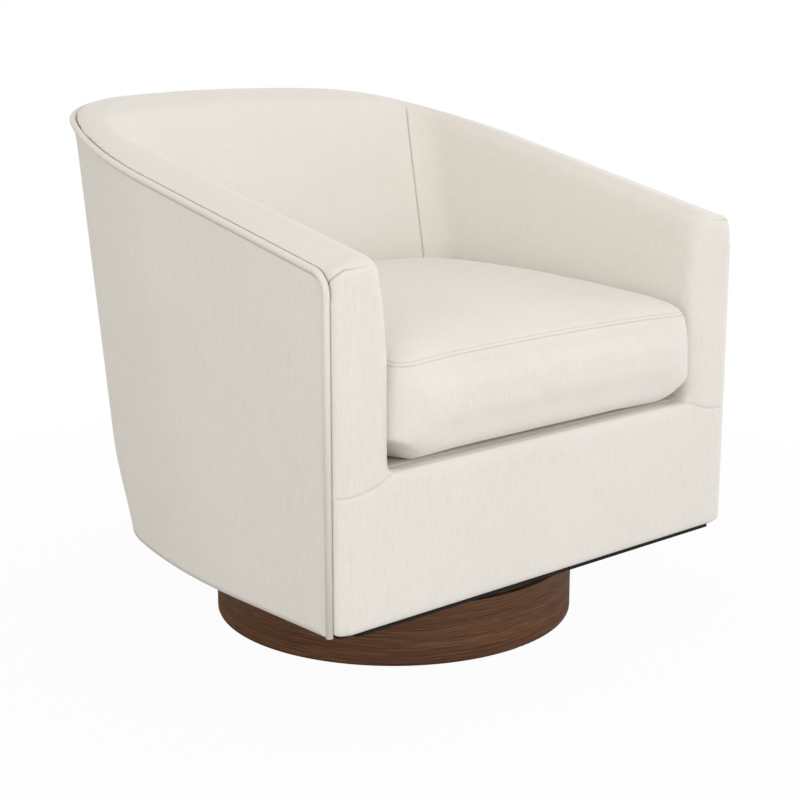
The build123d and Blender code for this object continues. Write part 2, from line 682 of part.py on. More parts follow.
with BuildPart() as bottom_board:
    with BuildSketch(Plane.XY.offset(BOTTOM_BOARD_LOW)):
        with BuildLine():
            draw_shell_outline(0, BOTTOM_BOARD_SETBACK)
        make_face()
        with Locations((0, FRAME_FRONT)):
            Rectangle(2 * (HALF_WIDTH - BOARD_LIP_END), LIP_DEPTH, align=(Align.CENTER, Align.MAX))
    extrude(amount=BOTTOM_BOARD)
    add(board_screws.part, mode=Mode.SUBTRACT)
finish(bottom_board, "bottom_board")

with BuildPart() as cross_rails:
    add(cross_rail_blanks.part)
    add(board_screws.part, mode=Mode.SUBTRACT)
finish(cross_rails, "cross_rails")

# ================================================================ swivel
LOWER_PLATE_TOP = PLINTH_TOP + SWIVEL_PLATE
UPPER_PLATE_LOW = LOWER_PLATE_TOP + PLATE_GAP
BALL_HEIGHT = (LOWER_PLATE_TOP + UPPER_PLATE_LOW) / 2

with BuildPart() as ball_race:
    with BuildSketch(Plane.XZ):
        with Locations((BALL_CIRCLE, BALL_HEIGHT)):
            Circle(BALL_RADIUS + BALL_CLEARANCE)
    revolve(axis=Axis.Z)

with BuildPart() as swivel_screws:
    with PolarLocations(SCREW_CIRCLE, FASTENER_COUNT, start_angle=SCREW_TURN):
        with Locations((0, 0, LOWER_PLATE_TOP)):
            Cylinder(SCREW_HEAD_RADIUS, SCREW_HEAD, align=(Align.CENTER, Align.CENTER, Align.MIN))
            Cylinder(SCREW_RADIUS, SWIVEL_PLATE + SCREW_GRIP, align=(Align.CENTER, Align.CENTER, Align.MAX))
finish(swivel_screws, "swivel_screws")

with BuildPart() as swivel_pivot:
    with Locations((0, 0, PLINTH_TOP)):
        Cylinder(PIVOT_RADIUS, PIVOT_HEAD_TOP - PLINTH_TOP, align=(Align.CENTER, Align.CENTER, Align.MIN))
    with Locations((0, 0, PIVOT_HEAD_TOP)):
        Cylinder(PIVOT_HEAD_RADIUS, PIVOT_HEAD, align=(Align.CENTER, Align.CENTER, Align.MAX))
finish(swivel_pivot, "swivel_pivot")

with BuildPart() as swivel_lower_plate:
    with Locations((0, 0, PLINTH_TOP)):
        Cylinder(SWIVEL_LOWER_RADIUS, SWIVEL_PLATE, align=(Align.CENTER, Align.CENTER, Align.MIN))
    add(ball_race.part, mode=Mode.SUBTRACT)
    add(swivel_pivot.part, mode=Mode.SUBTRACT)
    add(swivel_screws.part, mode=Mode.SUBTRACT)
finish(swivel_lower_plate, "swivel_lower_plate")

with BuildPart() as swivel_bolts:
    with GridLocations(BOLT_SPACING, BOLT_SPACING, 2, 2):
        with Locations((0, 0, UPPER_PLATE_LOW)):
            Cylinder(BOLT_HEAD_RADIUS, BOLT_HEAD, align=(Align.CENTER, Align.CENTER, Align.MAX))
            Cylinder(BOLT_RADIUS, BOLT_END - UPPER_PLATE_LOW, align=(Align.CENTER, Align.CENTER, Align.MIN))
finish(swivel_bolts, "swivel_bolts")

with BuildPart() as swivel_upper_plate:
    with Locations((0, 0, UPPER_PLATE_LOW)):
        Box(SWIVEL_UPPER_SIDE, SWIVEL_UPPER_SIDE, SWIVEL_PLATE, align=(Align.CENTER, Align.CENTER, Align.MIN))
        Cylinder(
            PIVOT_RADIUS + PIVOT_CLEARANCE,
            SWIVEL_PLATE,
            align=(Align.CENTER, Align.CENTER, Align.MIN),
            mode=Mode.SUBTRACT,
        )
    add(ball_race.part, mode=Mode.SUBTRACT)
    add(swivel_bolts.part, mode=Mode.SUBTRACT)
finish(swivel_upper_plate, "swivel_upper_plate")

with BuildPart() as swivel_balls:
    with PolarLocations(BALL_CIRCLE, BALL_COUNT):
        with Locations((0, 0, BALL_HEIGHT)):
            Sphere(BALL_RADIUS)
finish(swivel_balls, "swivel_balls")

with BuildPart() as ball_cage:
    with BuildSketch(Plane.XY.offset(BALL_HEIGHT - CAGE_THICKNESS / 2)):
        Circle(BALL_CIRCLE + CAGE_WIDTH / 2)
        Circle(BALL_CIRCLE - CAGE_WIDTH / 2, mode=Mode.SUBTRACT)
        with PolarLocations(BALL_CIRCLE, BALL_COUNT):
            Circle(BALL_RADIUS + CAGE_HOLE_CLEARANCE, mode=Mode.SUBTRACT)
    extrude(amount=CAGE_THICKNESS)
finish(ball_cage, "ball_cage")

# ================================================================ plinth
PLINTH_CORE = PLINTH_RADIUS - PLINTH_WRAP
BOARD_LOW = FLOOR_PAD_HEIGHT + PLINTH_BOARD

with BuildPart() as plinth_wrap:
    with BuildSketch(Plane.XY.offset(FLOOR_PAD_HEIGHT)):
        Circle(PLINTH_RADIUS)
        Circle(PLINTH_CORE, mode=Mode.SUBTRACT)
    extrude(amount=PLINTH_TOP - FLOOR_PAD_HEIGHT)
    outer_foot = plinth_wrap.faces().sort_by(Axis.Z)[0].edges().sort_by(SortBy.LENGTH)[-1]
    fillet(outer_foot, PLINTH_EDGE_ROUND)
finish(plinth_wrap, "plinth_wrap")

with BuildPart() as plinth_bottom_board:
    with Locations((0, 0, FLOOR_PAD_HEIGHT)):
        Cylinder(PLINTH_CORE, PLINTH_BOARD, align=(Align.CENTER, Align.CENTER, Align.MIN))
finish(plinth_bottom_board, "plinth_bottom_board")

with BuildPart() as plinth_top_board:
    with Locations((0, 0, PLINTH_TOP)):
        Cylinder(PLINTH_CORE, PLINTH_BOARD, align=(Align.CENTER, Align.CENTER, Align.MAX))
    add(swivel_screws.part, mode=Mode.SUBTRACT)
finish(plinth_top_board, "plinth_top_board")

with BuildPart() as plinth_blocks:
    with PolarLocations(PLINTH_CORE, BLOCK_COUNT):
        with Locations((0, 0, BOARD_LOW)):
            Box(
                2 * BLOCK_DEPTH,
                BLOCK_WIDTH,
                PLINTH_TOP - PLINTH_BOARD - BOARD_LOW,
                align=(Align.CENTER, Align.CENTER, Align.MIN),
            )
    Cylinder(PLINTH_CORE, FAR, mode=Mode.INTERSECT)
finish(plinth_blocks, "plinth_blocks")

with BuildPart() as floor_pad:
    pad_radius = PLINTH_CORE - FLOOR_PAD_SETBACK
    with BuildSketch():
        Circle(pad_radius)
        Circle(pad_radius - FLOOR_PAD_WIDTH, mode=Mode.SUBTRACT)
    extrude(amount=FLOOR_PAD_HEIGHT)
finish(floor_pad, "floor_pad")

# ================================================================ cushion
CUSHION_BOTTOM = FRONT_PANEL_TOP + CUSHION_BOTTOM_CLEARANCE
CUSHION_SEAM = SHELL_BOTTOM + CUSHION_SEAM_RISE


def cushion_levels(wall):
    """Each level's height and how far its outline is drawn in: the round foot, the sides, then the crown."""
    low = CUSHION_BOTTOM + wall
    widest = CUSHION_BOTTOM + CUSHION_BOTTOM_ROUND
    for step in range(CUSHION_STEPS):
        turn = radians(90 * step / CUSHION_STEPS)
        yield widest - (widest - low) * cos(turn), CUSHION_BOTTOM_ROUND * (1 - sin(turn))
    for step in range(CUSHION_STEPS):
        share = step / CUSHION_STEPS
        yield between((widest, CUSHION_SEAM), share), CUSHION_DRAW_IN * share**2
    for step in range(CUSHION_STEPS + 1):
        turn = radians(90 * step / CUSHION_STEPS)
        rise, spread = (CUSHION_CROWN - wall) * sin(turn), CUSHION_CROWN_SPREAD * (1 - cos(turn))
        yield CUSHION_SEAM + rise, CUSHION_DRAW_IN + spread


def cushion_form(wall):
    """The cushion's body, drawn in everywhere by wall."""
    with BuildPart() as form:
        for height, draw_in in cushion_levels(wall):
            inset = draw_in + wall
            level = min(height, CUSHION_SEAM)
            half_width = well_value(WELL_HALF_WIDTHS, level) - CUSHION_SIDE_CLEARANCE - inset
            back = well_value(WELL_BACKS, level) - CUSHION_SIDE_CLEARANCE - inset
            rear_corner = max(WELL_CORNER - inset, CUSHION_LEAST_CORNER)
            front_corner = max(CUSHION_CORNER - inset, CUSHION_LEAST_CORNER)
            with BuildSketch(Plane.XY.offset(height)):
                with BuildLine():
                    draw_well_outline(
                        half_width, back, rear_corner, WELL_BACK_RADIUS, CUSHION_FRONT + inset, front_corner
                    )
                make_face()
        loft(ruled=True)
    return form.part


cushion_full = cushion_form(0)
with BuildPart() as cushion_foam:
    add(cushion_form(COVER))
finish(cushion_foam, "cushion_foam")

ZIP_HEIGHT = SHELL_BOTTOM + ZIP_RISE
with BuildPart() as cushion_zip:
    add(cushion_full)
    add(cushion_form(ZIP_THICKNESS), mode=Mode.SUBTRACT)
    zip_window = slab(ZIP_HEIGHT, ZIP_HEIGHT + ZIP_WIDTH, 0, FAR, -ZIP_LENGTH / 2, ZIP_LENGTH / 2)
    add(zip_window, mode=Mode.INTERSECT)
finish(cushion_zip, "cushion_zip")

with BuildPart() as cushion_cover:
    add(cushion_full)
    add(cushion_foam.part, mode=Mode.SUBTRACT)
    add(cushion_zip.part, mode=Mode.SUBTRACT)
finish(cushion_cover, "cushion_cover")
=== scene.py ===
# %% [markdown]
# # Dressing a swivel barrel chair
#
# The chair is one padded barrel shell on a round walnut plinth, with a loose cushion in its well. The
# construction comes ready, as the frame's solids. This lesson gives every visible surface its cloth, its
# seams and its grain, and never moves a solid. All sizes are in metres.

# %% Load the frame
import json
import math

import bmesh
import bpy
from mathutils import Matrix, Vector
from mathutils.bvhtree import BVHTree
from mathutils.kdtree import KDTree


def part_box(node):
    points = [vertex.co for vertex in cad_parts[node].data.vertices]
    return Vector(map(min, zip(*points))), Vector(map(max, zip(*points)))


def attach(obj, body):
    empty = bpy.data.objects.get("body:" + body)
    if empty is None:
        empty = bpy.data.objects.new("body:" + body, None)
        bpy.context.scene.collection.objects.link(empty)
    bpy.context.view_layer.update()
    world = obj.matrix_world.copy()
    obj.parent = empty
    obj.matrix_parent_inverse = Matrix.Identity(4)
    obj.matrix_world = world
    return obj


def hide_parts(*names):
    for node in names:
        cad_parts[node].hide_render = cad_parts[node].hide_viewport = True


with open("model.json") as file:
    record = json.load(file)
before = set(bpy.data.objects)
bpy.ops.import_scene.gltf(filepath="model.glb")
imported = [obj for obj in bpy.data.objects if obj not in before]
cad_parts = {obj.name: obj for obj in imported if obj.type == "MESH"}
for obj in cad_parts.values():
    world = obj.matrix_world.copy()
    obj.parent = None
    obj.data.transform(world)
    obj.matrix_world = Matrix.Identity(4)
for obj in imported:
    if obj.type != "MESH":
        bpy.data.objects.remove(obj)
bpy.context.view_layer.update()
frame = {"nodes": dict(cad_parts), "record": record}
nodes = frame["nodes"]

# %% [markdown]
# ## Camera, light and floor
#
# A long lens a little above the seat gives the calm look of a catalogue picture. Four large soft panels
# light the chair: one straight ahead, two round its left, so that this side falls into a gentle shade, and
# one far out on its right for the plinth's bright end. One strong lamp would be simpler, but its hard shadow
# hides the soft turns of padded cloth. The background is white only for the camera and in gloss, and takes
# no part in the lighting.

# %% Camera
CAMERA_AT = (-1.5885, -1.8095, 0.8818)
CAMERA_DOWN = 13.297
CAMERA_TURN = -41.503
LENS = 75.9
SENSOR = 36.0

camera_data = bpy.data.cameras.new("camera")
camera_data.lens = LENS
camera_data.sensor_width = SENSOR
camera = bpy.data.objects.new("camera", camera_data)
camera.location = CAMERA_AT
camera.rotation_euler = (math.radians(90 - CAMERA_DOWN), 0, math.radians(CAMERA_TURN))
bpy.context.scene.collection.objects.link(camera)
bpy.context.scene.camera = camera
bpy.context.scene.view_settings.view_transform = "Standard"
print("camera:", LENS, "mm lens")


# %% Lamps
def add_lamp(name, at, aim, width, power, colour):
    """A square panel of light at a point, turned to face another point."""
    data = bpy.data.lights.new(name, "AREA")
    data.size = width
    data.energy = power
    data.color = colour
    lamp = bpy.data.objects.new(name, data)
    lamp.location = at
    lamp.rotation_euler = (Vector(aim) - Vector(at)).to_track_quat("-Z", "Y").to_euler()
    bpy.context.scene.collection.objects.link(lamp)
    return lamp


CHAIR_CENTRE = (0, 0.05, 0.4)
LAMPS = (                   # name, place, width, watts, colour
    ("front_panel_light", (-0.3, -3.4, 0.8), 1.8, 24, (0.94, 0.96, 1.0)),
    ("front_left_light", (-2.0, -2.6, 1.6), 2.4, 8.5, (1.0, 0.98, 0.94)),
    ("left_panel_light", (-2.8, -0.6, 1.6), 2.4, 9, (1.0, 0.96, 0.84)),
    ("right_panel_light", (3.0, -0.4, 1.0), 2.0, 27, (1.0, 1.0, 1.0)),
)
for name, at, width, power, colour in LAMPS:
    add_lamp(name, at, CHAIR_CENTRE, width, power, colour)
print("lamps:", len(LAMPS))

# %% [markdown]
# ## Shader sums as Python sums
#
# A finish is a small calculation on the point being shaded. In the editor it is drawn as boxes and noodles.
# Written out as plain calls it is long and hard to read, so the class below wraps a node's socket, and
# `a * 2 + b` adds the Math nodes for it. Every other node comes from one method, called node.

# %% Sockets that add, and finishes that make nodes
class Wire:
    """One value in a finish. Python's operators on it add Math nodes."""

    def __init__(self, finish, socket):
        self.finish = finish
        self.socket = socket

    def __add__(self, other):
        return self.finish.maths("ADD", self, other)

    def __radd__(self, other):
        return self.finish.maths("ADD", other, self)

    def __sub__(self, other):
        return self.finish.maths("SUBTRACT", self, other)

    def __rsub__(self, other):
        return self.finish.maths("SUBTRACT", other, self)

    def __mul__(self, other):
        return self.finish.maths("MULTIPLY", self, other)

    def __rmul__(self, other):
        return self.finish.maths("MULTIPLY", other, self)

    def __truediv__(self, other):
        return self.finish.maths("DIVIDE", self, other)

    def __pow__(self, other):
        return self.finish.maths("POWER", self, other)

    def __abs__(self):
        return self.finish.maths("ABSOLUTE", self)


class NodeBench:
    """A node tree being filled, for a material or the world."""

    def __init__(self, owner):
        owner.use_nodes = True
        self.nodes = owner.node_tree.nodes
        self.links = owner.node_tree.links
        self.nodes.clear()

    def feed(self, target, value):
        if isinstance(value, Wire):
            self.links.new(value.socket, target)
        else:
            target.default_value = value

    def node(self, kind, settings=None, inputs=None, output=0):
        """Adds a node. Its settings go in first, then the value or link of each named socket."""
        made = self.nodes.new(kind)
        for name, value in (settings or {}).items():
            if name == "stops":
                for index, (place, colour) in enumerate(value):
                    ramp = made.color_ramp.elements
                    stop = ramp[index] if index < len(ramp) else ramp.new(place)
                    stop.position = place
                    stop.color = colour
            else:
                setattr(made, name, value)
        for name, value in (inputs or {}).items():
            by_name = {s.identifier: s for s in made.inputs}
            self.feed(by_name.get(name) or made.inputs[name], value)
        return Wire(self, made.outputs[output]) if made.outputs else made

    def maths(self, operation, *values):
        made = self.nodes.new("ShaderNodeMath")
        made.operation = operation
        for target, value in zip(made.inputs, values):
            self.feed(target, value)
        return Wire(self, made.outputs[0])

    def others(self, wire):
        """All the outputs of the node that a wire comes from."""
        return [Wire(self, socket) for socket in wire.socket.node.outputs]


class Finish(NodeBench):
    """A material being made, with a Principled shader at its end."""

    def __init__(self, name):
        self.material = bpy.data.materials.new(name)
        super().__init__(self.material)
        self.shader = self.node("ShaderNodeBsdfPrincipled")
        self.output = self.node("ShaderNodeOutputMaterial", inputs={"Surface": self.shader})

    def place(self):
        """The point's x, y and z on the piece."""
        point = self.node("ShaderNodeTexCoord", output=3)
        return self.others(self.node("ShaderNodeSeparateXYZ", inputs={"Vector": point}))

    def vector(self, x, y, z):
        return self.node("ShaderNodeCombineXYZ", inputs={"X": x, "Y": y, "Z": z})

    def noise(self, vector, scale, detail=2.0, roughness=0.5):
        return self.node(
            "ShaderNodeTexNoise",
            inputs={"Vector": vector, "Scale": scale, "Detail": detail, "Roughness": roughness},
        )

    def ramp(self, value, *stops):
        return self.node("ShaderNodeValToRGB", {"stops": stops}, {"Fac": value})

    def mix(self, share, first, second):
        """A colour between two others."""
        return self.node(
            "ShaderNodeMix",
            {"data_type": "RGBA"},
            {"Factor_Float": share, "A_Color": first, "B_Color": second},
            output=2,
        )

    def bump(self, height, strength, depth):
        relief = {"Strength": strength, "Distance": depth, "Height": height}
        return self.node("ShaderNodeBump", inputs=relief)

    def end(self, **sockets):
        """Sets the shader's sockets by name, with _ for a space, and gives the material."""
        for name, value in sockets.items():
            self.feed(self.shader.socket.node.inputs[name.replace("_", " ")], value)
        return self.material


def shade(red, green, blue):
    """A colour as a screen shows it, turned into the linear one that a shader takes."""
    def linear(level):
        level = level / 255
        return level / 12.92 if level <= 0.04045 else ((level + 0.055) / 1.055) ** 2.4

    return (linear(red), linear(green), linear(blue), 1)


print("helpers ready")

# %% [markdown]
# ## Cream linen-look cloth
#
# The cloth is a plain weave with slubs: short thick stretches of yarn that show as faint streaks, mostly
# upright on the sides and running front to back on level faces. A picture of cloth would need the pieces
# unwrapped and would show joints, so noise stretched along the yarn gives the streaks instead, straight from
# the place of the point. Along a seam the cloth is darkened, partly for the seam's thread and partly as
# painted shade in its groove; the pieces mark this in an attribute called seam.

# %% Cloth finish
YARN_PITCH = 950.0      # streaks per metre across the yarn
YARN_RUN = 42.0         # and along it
WARP_SHARE = 0.78       # the upright yarn shows more than the crosswise one
WEFT_SHARE = 0.22
WEAVE_SHARE = 0.8
CLOUD_SHARE = 0.2       # slow drifts of tone, a hand wide
CLOUDS_PER_METRE = 7.0
FUZZ_PER_METRE = 1400.0
FUZZ_SHARE = 0.35


def make_cloth(name, light, dark, seam_shadow_and_thread):
    finish = Finish(name)
    x, y, z = finish.place()
    normal = finish.node("ShaderNodeTexCoord", output=1)
    parts = finish.others(finish.node("ShaderNodeSeparateXYZ", inputs={"Vector": normal}))
    level = abs(parts[2]) ** 4
    across, along = YARN_PITCH, YARN_RUN
    upright_warp = finish.noise(finish.vector(x * across, y * across, z * along), 1.0, 2.5)
    upright_weft = finish.noise(finish.vector(x * along, y * along, z * across), 1.0, 1.5)
    level_warp = finish.noise(finish.vector(x * across, y * along, z * across), 1.0, 2.5)
    level_weft = finish.noise(finish.vector(x * along, y * across, z * across), 1.0, 1.5)
    upright = upright_warp * WARP_SHARE + upright_weft * WEFT_SHARE
    flat = level_warp * WARP_SHARE + level_weft * WEFT_SHARE
    weave = upright * (1 - level) + flat * level
    clouds = finish.noise(finish.vector(x, y, z), CLOUDS_PER_METRE, 3.0)
    tone = weave * WEAVE_SHARE + clouds * CLOUD_SHARE
    colour = finish.ramp(tone, (0.34, dark), (0.66, light))
    # Seam darkening: the seam's thread colour plus painted shade in the seam's groove.
    seam = finish.node("ShaderNodeAttribute", {"attribute_name": "seam"}, output=2)
    colour = finish.mix(seam, colour, seam_shadow_and_thread)
    fuzz = finish.noise(finish.vector(x, y, z), FUZZ_PER_METRE, 1.0)
    height = weave + fuzz * FUZZ_SHARE
    return finish.end(
        Base_Color=colour,
        Roughness=0.86 + weave * 0.12,
        Normal=finish.bump(height, 0.22, 0.0006),
        Sheen_Weight=0.25,
        Sheen_Roughness=0.5,
        Specular_IOR_Level=0.25,
    )


SHELL_LIGHT = shade(239, 236, 231)
SHELL_DARK = shade(228, 224, 217)
LINING_LIGHT = shade(226, 221, 212)
LINING_DARK = shade(210, 204, 194)
# The seam lines' colour: partly thread, partly painted shade in the groove.
SEAM_SHADOW_AND_THREAD = shade(138, 118, 94)

shell_cloth = make_cloth("shell_cloth", SHELL_LIGHT, SHELL_DARK, SEAM_SHADOW_AND_THREAD)
lining = make_cloth("lining_cloth", LINING_LIGHT, LINING_DARK, SEAM_SHADOW_AND_THREAD)
print("cloths:", shell_cloth.name, "and", lining.name)

# %% [markdown]
# ## Walnut, and the plain finishes
#
# The plinth is wrapped in walnut veneer whose grain runs round it. Noise in straight x and z would show end
# grain on two sides, as on a turned log. The angle round the axis, times the radius, unrolls the wrap, and
# noise stretched along it draws the grain: slow figure, fine lines and short pores.

# %% Walnut finish
PLINTH_RADIUS = 0.2635
GRAIN_SWAY = 0.02           # how far the lines wander up and down
FIGURE = (2.4, 60, 0.2)     # pitch round the plinth, pitch up it, and share of the tone
LINES = (5.0, 480, 0.46)
PORES = (26, 900, 0.34)


def make_walnut():
    finish = Finish("walnut_veneer")
    x, y, z = finish.place()
    around = finish.maths("ARCTAN2", y, x) * PLINTH_RADIUS
    sway = finish.noise(finish.vector(around * 4, z * 4, 0.0), 1.0, 2.0)
    grain_z = z + sway * GRAIN_SWAY
    figure = finish.noise(finish.vector(around * FIGURE[0], grain_z * FIGURE[1], 0.0), 1.0, 3.0, 0.55)
    lines = finish.noise(finish.vector(around * LINES[0], grain_z * LINES[1], 5.0), 1.0, 3.0, 0.65)
    pores = finish.noise(finish.vector(around * PORES[0], grain_z * PORES[1], 3.0), 1.0, 2.0)
    tone = figure * FIGURE[2] + lines * LINES[2] + pores * PORES[2]
    colour = finish.ramp(
        tone,
        (0.36, shade(53, 31, 17)),
        (0.46, shade(88, 55, 34)),
        (0.54, shade(111, 74, 48)),
        (0.66, shade(137, 97, 67)),
    )
    return finish.end(
        Base_Color=colour,
        Roughness=0.5 + lines * 0.16,
        Normal=finish.bump(lines + pores, 0.12, 0.0003),
        Coat_Weight=0.04,
        Coat_Roughness=0.35,
        Specular_IOR_Level=0.3,
    )


walnut = make_walnut()
print("wood:", walnut.name)


# %% Bare plywood, timber, metals and plastics
def make_plywood(name, light, dark, ply=0.0016):
    """Thin layers that show as stripes on a sawn edge, with a slow grain on the face."""
    finish = Finish(name)
    x, y, z = finish.place()
    layer = finish.maths("SINE", z * (2 * math.pi / (2 * ply)))
    grain = finish.noise(finish.vector(x * 8, y * 160, z * 160), 1.0, 3.0)
    tone = layer * 0.12 + grain * 0.7 + 0.15
    return finish.end(
        Base_Color=finish.ramp(tone, (0.3, dark), (0.7, light)),
        Roughness=0.7 + grain * 0.1,
        Normal=finish.bump(tone, 0.15, 0.0004),
    )


def make_plain(name, base, roughness, metallic=0.0, speckle=60.0, spread=0.12, relief=0.0002):
    """A finish of one colour with a fine mottle in its colour, gloss and surface."""
    finish = Finish(name)
    mottle = finish.noise(finish.vector(*finish.place()), speckle, 3.0)
    darker = tuple(level * (1 - spread) for level in base[:3]) + (1,)
    lighter = tuple(min(1, level * (1 + spread)) for level in base[:3]) + (1,)
    return finish.end(
        Base_Color=finish.ramp(mottle, (0.35, darker), (0.65, lighter)),
        Roughness=roughness + mottle * 0.1 - 0.05,
        Metallic=metallic,
        Normal=finish.bump(mottle, 0.2, relief),
    )


birch_ply = make_plywood("birch_ply", shade(214, 184, 140), shade(178, 142, 98))
black_board = make_plain("black_board", shade(10, 10, 10), 0.92, speckle=240)
timber = make_plywood("planed_timber", shade(222, 194, 150), shade(192, 158, 112), 0.006)
rubber = make_plain("foot_rubber", shade(28, 28, 29), 0.85, speckle=500)
black_steel = make_plain("black_steel", shade(34, 34, 36), 0.45, 0.6, 300)
ground_steel = make_plain("ground_steel", shade(190, 190, 192), 0.28, 1.0, 180, 0.06)
zinc_steel = make_plain("zinc_steel", shade(176, 178, 180), 0.36, 1.0, 220, 0.1)
spring_steel = make_plain("spring_steel", shade(92, 92, 96), 0.4, 1.0, 260, 0.15)
nylon = make_plain("cage_nylon", shade(214, 210, 196), 0.5, speckle=120, spread=0.04)
brown_card = make_plain("brown_card", shade(158, 128, 92), 0.9, speckle=420, spread=0.1)
band_web = make_plain("elastic_web", shade(96, 88, 78), 0.9, speckle=900, spread=0.25)
foam = make_plain("cushion_foam", shade(232, 226, 200), 0.95, speckle=700, spread=0.06)
felt = make_plain("deck_felt", shade(206, 198, 180), 0.95, speckle=600, spread=0.08)
zip_tape = make_plain("zip_tape", shade(206, 198, 184), 0.8, speckle=800, spread=0.1)
print("finishes:", len(bpy.data.materials))

# %% [markdown]
# ## A finish for every solid of the frame
#
# The frame's record names a material slot for each solid. A solid whose shape is right, such as the plinth
# or a spring, stays as it is and only takes its finish here, since a second copy of it could only be less
# true. Soft solids take theirs as well, and are replaced further on.

# %% Give the solids their finishes
FINISH_OF_SLOT = {
    "rubber": rubber,
    "walnut": walnut,
    "plinth_ply": birch_ply,
    "swivel_steel": black_steel,
    "bearing_steel": ground_steel,
    "cage_plastic": nylon,
    "zinc_steel": zinc_steel,
    "black_board": black_board,
    "frame_ply": birch_ply,
    "frame_timber": timber,
    "spring_steel": spring_steel,
    "clip_steel": zinc_steel,
    "webbing": band_web,
    "card": brown_card,
    "deck_cloth": felt,
    "shell_fabric": shell_cloth,
    "piping_fabric": shell_cloth,
    "cushion_fabric": shell_cloth,
    "cushion_foam": foam,
    "zip_nylon": zip_tape,
}
for row in frame["record"]["subparts"]:
    solid = nodes[row["node"]]
    solid.data.materials.clear()
    solid.data.materials.append(FINISH_OF_SLOT[row["material_slot"]])
print("finished solids:", len(nodes))

# %% [markdown]
# ## Tools for upholstery
#
# A padded piece could be modelled from a box with a subdivision modifier, but it would have to be fitted to
# the frame by hand. Here each starts from its own solid instead. Its loose triangles are merged, and a voxel
# remesh turns them into even squares, which smoothing makes soft. The mesh is then made finer only near a
# seam, and the seam is pressed into it, so that it is there from every side and in the mesh itself.

# %% Upholstery helpers
def merged_copy(*names):
    """A bmesh of these solids, with their loose triangles joined."""
    bm = bmesh.new()
    for name in names:
        bm.from_mesh(nodes[name].data)
    bmesh.ops.remove_doubles(bm, verts=bm.verts, dist=1e-5)
    return bm


def new_piece(name, bm):
    mesh = bpy.data.meshes.new(name)
    bm.to_mesh(mesh)
    bm.free()
    piece = bpy.data.objects.new(name, mesh)
    bpy.context.scene.collection.objects.link(piece)
    return piece


def apply_modifiers(piece):
    """Turns what the modifiers show into the piece's own mesh."""
    shown = piece.evaluated_get(bpy.context.evaluated_depsgraph_get())
    mesh = bpy.data.meshes.new_from_object(shown)
    piece.modifiers.clear()
    piece.data = mesh


def remesh(piece, voxel):
    modifier = piece.modifiers.new("remesh", "REMESH")
    modifier.mode = "VOXEL"
    modifier.voxel_size = voxel
    modifier.use_smooth_shade = True
    apply_modifiers(piece)


def open_mesh(piece):
    bm = bmesh.new()
    bm.from_mesh(piece.data)
    return bm


def close_mesh(piece, bm):
    for face in bm.faces:
        face.smooth = True
    bm.to_mesh(piece.data)
    bm.free()
    piece.data.update()


def soften(bm, verts, rounds, factor=0.5):
    for _ in range(rounds):
        bmesh.ops.smooth_vert(
            bm, verts=verts, factor=factor, use_axis_x=True, use_axis_y=True, use_axis_z=True
        )


def tree_of(*names):
    """The solids' surface, to cast rays at and measure from."""
    bm = merged_copy(*names)
    tree = BVHTree.FromBMesh(bm)
    bm.free()
    return tree


def dot_distance(dots):
    """A function that gives the distance from the nearest of these points."""
    tree = KDTree(len(dots))
    for index, dot in enumerate(dots):
        tree.insert(dot, index)
    tree.balance()
    return lambda point: tree.find(point)[2]


def line_distance(skin, points, step=0.0012):
    """A function that gives the distance from a line through the points, laid on a skin."""
    dots = []
    for start, end in zip(points, points[1:]):
        start, end = Vector(start), Vector(end)
        count = max(1, round((end - start).length / step))
        dots += [skin.find_nearest(start.lerp(end, index / count))[0] for index in range(count + 1)]
    return dot_distance(dots)


def ring_distance(bm, height):
    """A function that gives the distance from the line where a level plane cuts the mesh."""
    copy = bm.copy()
    cut = bmesh.ops.bisect_plane(
        copy, geom=copy.verts[:] + copy.edges[:] + copy.faces[:], plane_co=(0, 0, height), plane_no=(0, 0, 1)
    )
    dots = []
    for edge in cut["geom_cut"]:
        if isinstance(edge, bmesh.types.BMEdge):
            start, end = (vert.co for vert in edge.verts)
            dots += [start.lerp(end, share / 4) for share in range(4)]
    copy.free()
    return dot_distance(dots)


def plane_distance(point, normal):
    """A function that gives the distance from a plane."""
    point, normal = Vector(point), Vector(normal).normalized()
    return lambda place: abs((place - point).dot(normal))


def step_up(value, low, high):
    """0 below low, 1 above high, and a smooth rise between."""
    share = min(max((value - low) / (high - low), 0), 1)
    return share * share * (3 - 2 * share)


SEAM_REACHES = (0.009, 0.0048, 0.0026)      # how near to a seam the faces are halved, step by step
SEAM_LIMIT = 3              # a seam ends this many of its widths away


def refine(bm, seams):
    """Gives the faces near these seams a finer mesh, in three steps."""
    for reach in SEAM_REACHES:
        edges = set()
        for face in bm.faces:
            centre = face.calc_center_median()
            if any(where(centre) and distance(centre) < reach for distance, _, _, _, where in seams):
                edges.update(face.edges)
        bmesh.ops.subdivide_edges(bm, edges=list(edges), cuts=1, use_grid_fill=True)
    bm.normal_update()


def everywhere(point):
    """The strength of a seam that is the same along its whole length."""
    return 1


def press_seams(bm, seams):
    """Presses seams in, darkened by thread and painted shade. Each is (distance, depth, width, darkness,
    strength at a point).
    """
    refine(bm, seams)
    thread_and_shade_layer = bm.verts.layers.float.get("seam") or bm.verts.layers.float.new("seam")
    for vert in bm.verts:
        spot, sink = vert.co.copy(), 0
        for distance, depth, width, dark, where in seams:
            strength = where(spot)
            share = distance(spot) / width if strength else SEAM_LIMIT
            if share < SEAM_LIMIT:
                sink += strength * depth * math.exp(-share * share)
                # The darkness stored here is the thread's colour plus painted shade in the groove.
                vert[thread_and_shade_layer] = max(vert[thread_and_shade_layer], strength * dark * math.exp(-3 * share * share))
        vert.co -= vert.normal * sink


def mirrored(point):
    """The same place or direction on the chair's other side."""
    return (-point[0], *point[1:])


